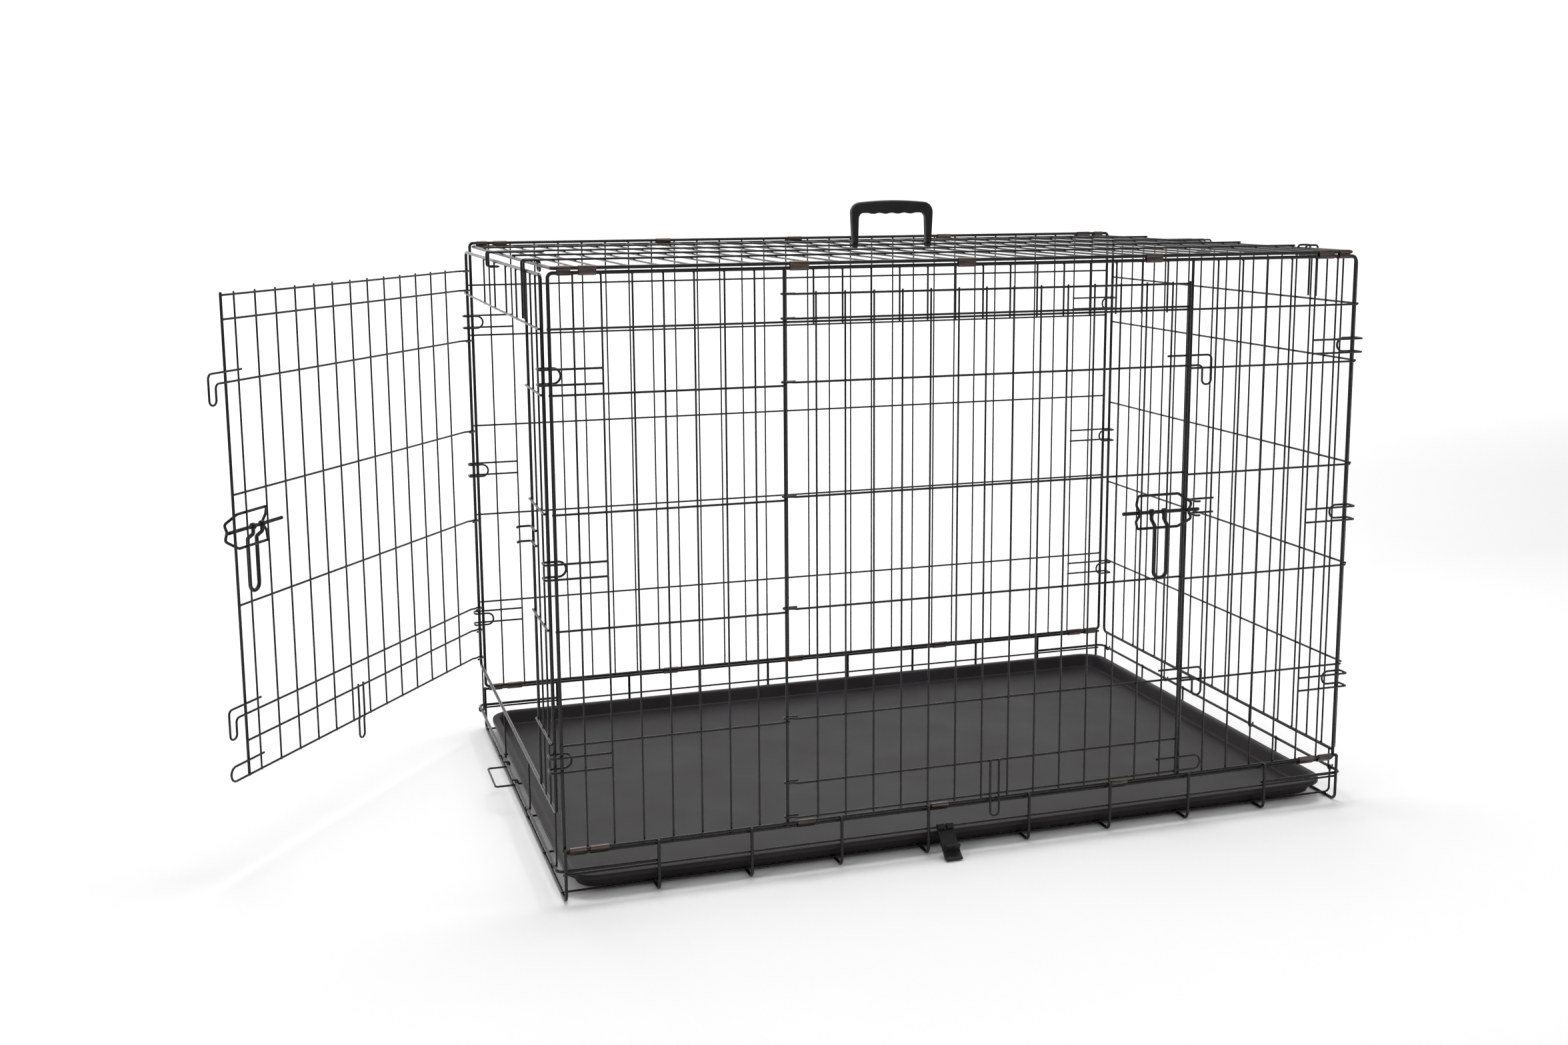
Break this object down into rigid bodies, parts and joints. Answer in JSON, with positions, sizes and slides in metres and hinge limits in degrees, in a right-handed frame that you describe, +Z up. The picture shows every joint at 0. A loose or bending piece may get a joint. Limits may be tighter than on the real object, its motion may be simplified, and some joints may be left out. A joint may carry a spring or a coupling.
{
  "type": "wire dog crate",
  "caption": "Folding wire dog crate with a sliding tray, a hinged door with sliding bolt in the long front and another in one end, shown with the end door open.",
  "frame": {"origin": "centre of the base on the floor", "axes": "+Z up, X along the crate with the end door at -X, -Y the long front with the other door"},
  "size_m": [1.4556, 0.7376, 0.82],
  "materials": {
    "coated_wire": "gloss black coating on steel wire",
    "clip_steel": "dark crimped sheet, half gloss",
    "handle_plastic": "satin moulded plastic",
    "pan_plastic": "satin formed sheet"
  },
  "bodies": {
    "base": {"base_floor_loops": "coated_wire", "base_floor_long_wires": "coated_wire", "base_mid_rails": "coated_wire", "base_hinge_rails": "coated_wire", "base_left_end_rail": "coated_wire", "base_right_end_rail": "coated_wire", "base_hinge_clips": "clip_steel"},
    "front_panel": {"front_frame": "coated_wire", "front_door_hinge_upright": "coated_wire", "front_door_jamb": "coated_wire", "front_uprights": "coated_wire", "front_header_uprights": "coated_wire", "front_cross_wires": "coated_wire", "front_corner_catches": "coated_wire", "front_bolt_keeper": "coated_wire"},
    "front_door": {"front_door_uprights": "coated_wire", "front_door_edge_wire": "coated_wire", "front_door_cross_wires": "coated_wire", "front_door_hinge_eyes": "coated_wire", "front_door_hooks": "coated_wire", "front_bolt_guide": "coated_wire"},
    "front_bolt": {"front_bolt_rod": "coated_wire"},
    "front_bolt_handle": {"front_bolt_handle": "coated_wire"},
    "back_panel": {"back_frame": "coated_wire", "back_uprights": "coated_wire", "back_cross_wires": "coated_wire", "back_corner_catches": "coated_wire"},
    "top_panel": {"top_frame": "coated_wire", "top_cross_wires": "coated_wire", "top_long_wires": "coated_wire", "top_hinge_clips": "clip_steel", "top_end_catches": "coated_wire"},
    "carry_handle": {"carry_handle": "handle_plastic"},
    "left_end": {"left_end_frame": "coated_wire", "left_door_jamb": "coated_wire", "left_end_uprights": "coated_wire", "left_end_cross_wires": "coated_wire", "left_end_rail_hooks": "coated_wire", "left_end_top_catch": "coated_wire", "left_bolt_keeper": "coated_wire"},
    "left_door": {"left_door_uprights": "coated_wire", "left_door_edge_wire": "coated_wire", "left_door_cross_wires": "coated_wire", "left_door_hinge_eyes": "coated_wire", "left_door_hooks": "coated_wire", "left_bolt_guide": "coated_wire"},
    "left_bolt": {"left_bolt_rod": "coated_wire"},
    "left_bolt_handle": {"left_bolt_handle": "coated_wire"},
    "right_end": {"right_end_frame": "coated_wire", "right_end_uprights": "coated_wire", "right_end_cross_wires": "coated_wire", "right_end_rail_hooks": "coated_wire", "right_end_top_catch": "coated_wire"},
    "pan": {"pan": "pan_plastic"},
    "pan_stop": {"pan_stop": "coated_wire"},
    "carry_latch": {"carry_latch": "handle_plastic"}
  },
  "joints": [
    {"name": "front_fold", "type": "hinge", "parent": "base", "child": "front_panel", "pos_m": [0, -0.344, 0.059], "axis": [-1, 0, 0], "range_deg": [0, 84], "deforming": ["front_corner_catches", "back_corner_catches", "top_end_catches", "left_end_top_catch", "right_end_top_catch"]},
    {"name": "top_fold", "type": "hinge", "parent": "front_panel", "child": "top_panel", "pos_m": [0, -0.344, 0.747], "axis": [1, 0, 0], "range_deg": [0, 84]},
    {"name": "back_fold", "type": "hinge", "parent": "base", "child": "back_panel", "pos_m": [0, 0.344, 0.07], "axis": [-1, 0, 0], "range_deg": [0, 84]},
    {"name": "right_end_fold", "type": "hinge", "parent": "base", "child": "right_end", "pos_m": [0.543, 0, 0.039], "axis": [0, -1, 0], "range_deg": [0, 90], "deforming": ["front_corner_catches", "back_corner_catches", "top_end_catches", "left_end_top_catch", "right_end_top_catch"]},
    {"name": "left_end_fold", "type": "hinge", "parent": "base", "child": "left_end", "pos_m": [-0.543, 0, 0.039], "axis": [0, -1, 0], "range_deg": [-15, 0], "deforming": ["front_corner_catches", "back_corner_catches", "top_end_catches", "left_end_top_catch", "right_end_top_catch"]},
    {"name": "front_door_swing", "type": "hinge", "parent": "front_panel", "child": "front_door", "pos_m": [-0.2545, -0.3444, 0.4], "axis": [0, 0, -1], "range_deg": [0, 110]},
    {"name": "front_bolt_slide", "type": "slide", "parent": "front_door", "child": "front_bolt", "axis": [-1, 0, 0], "range_m": [0, 0.012]},
    {"name": "front_bolt_handle_turn", "type": "hinge", "parent": "front_bolt", "child": "front_bolt_handle", "pos_m": [-0.0135, -0.3602, 0.4265], "axis": [-1, 0, 0], "range_deg": [0, 90]},
    {"name": "left_door_swing", "type": "hinge", "parent": "left_end", "child": "left_door", "pos_m": [-0.54, 0.3362, 0.4], "axis": [0, 0, -1], "range_deg": [-37, 73]},
    {"name": "left_bolt_slide", "type": "slide", "parent": "left_door", "child": "left_bolt", "axis": [-0.6018, -0.7986, 0], "range_m": [0, 0.012]},
    {"name": "left_bolt_handle_turn", "type": "hinge", "parent": "left_bolt", "child": "left_bolt_handle", "pos_m": [-0.85836, -0.05936, 0.4265], "axis": [0.6018, 0.7986, 0], "range_deg": [0, 90]},
    {"name": "handle_fold", "type": "hinge", "parent": "top_panel", "child": "carry_handle", "pos_m": [0.0379, 0.0688, 0.75612], "axis": [1, 0, 0], "range_deg": [-75, 75]},
    {"name": "pan_slide", "type": "slide", "parent": "base", "child": "pan", "axis": [-1, 0, 0], "range_m": [0, 0.9]},
    {"name": "pan_stop_swing", "type": "hinge", "parent": "base", "child": "pan_stop", "pos_m": [-0.543, 0, 0.039], "axis": [0, 1, 0], "range_deg": [-85, 45]},
    {"name": "carry_latch_swing", "type": "hinge", "parent": "base", "child": "carry_latch", "pos_m": [0, -0.3492, 0.0345], "axis": [-1, 0, 0], "range_deg": [0, 60]}
  ],
  "couplings": [
    {"joint": "top_fold", "follows": "front_fold", "ratio": 1},
    {"joint": "back_fold", "follows": "front_fold", "ratio": 1}
  ]
}
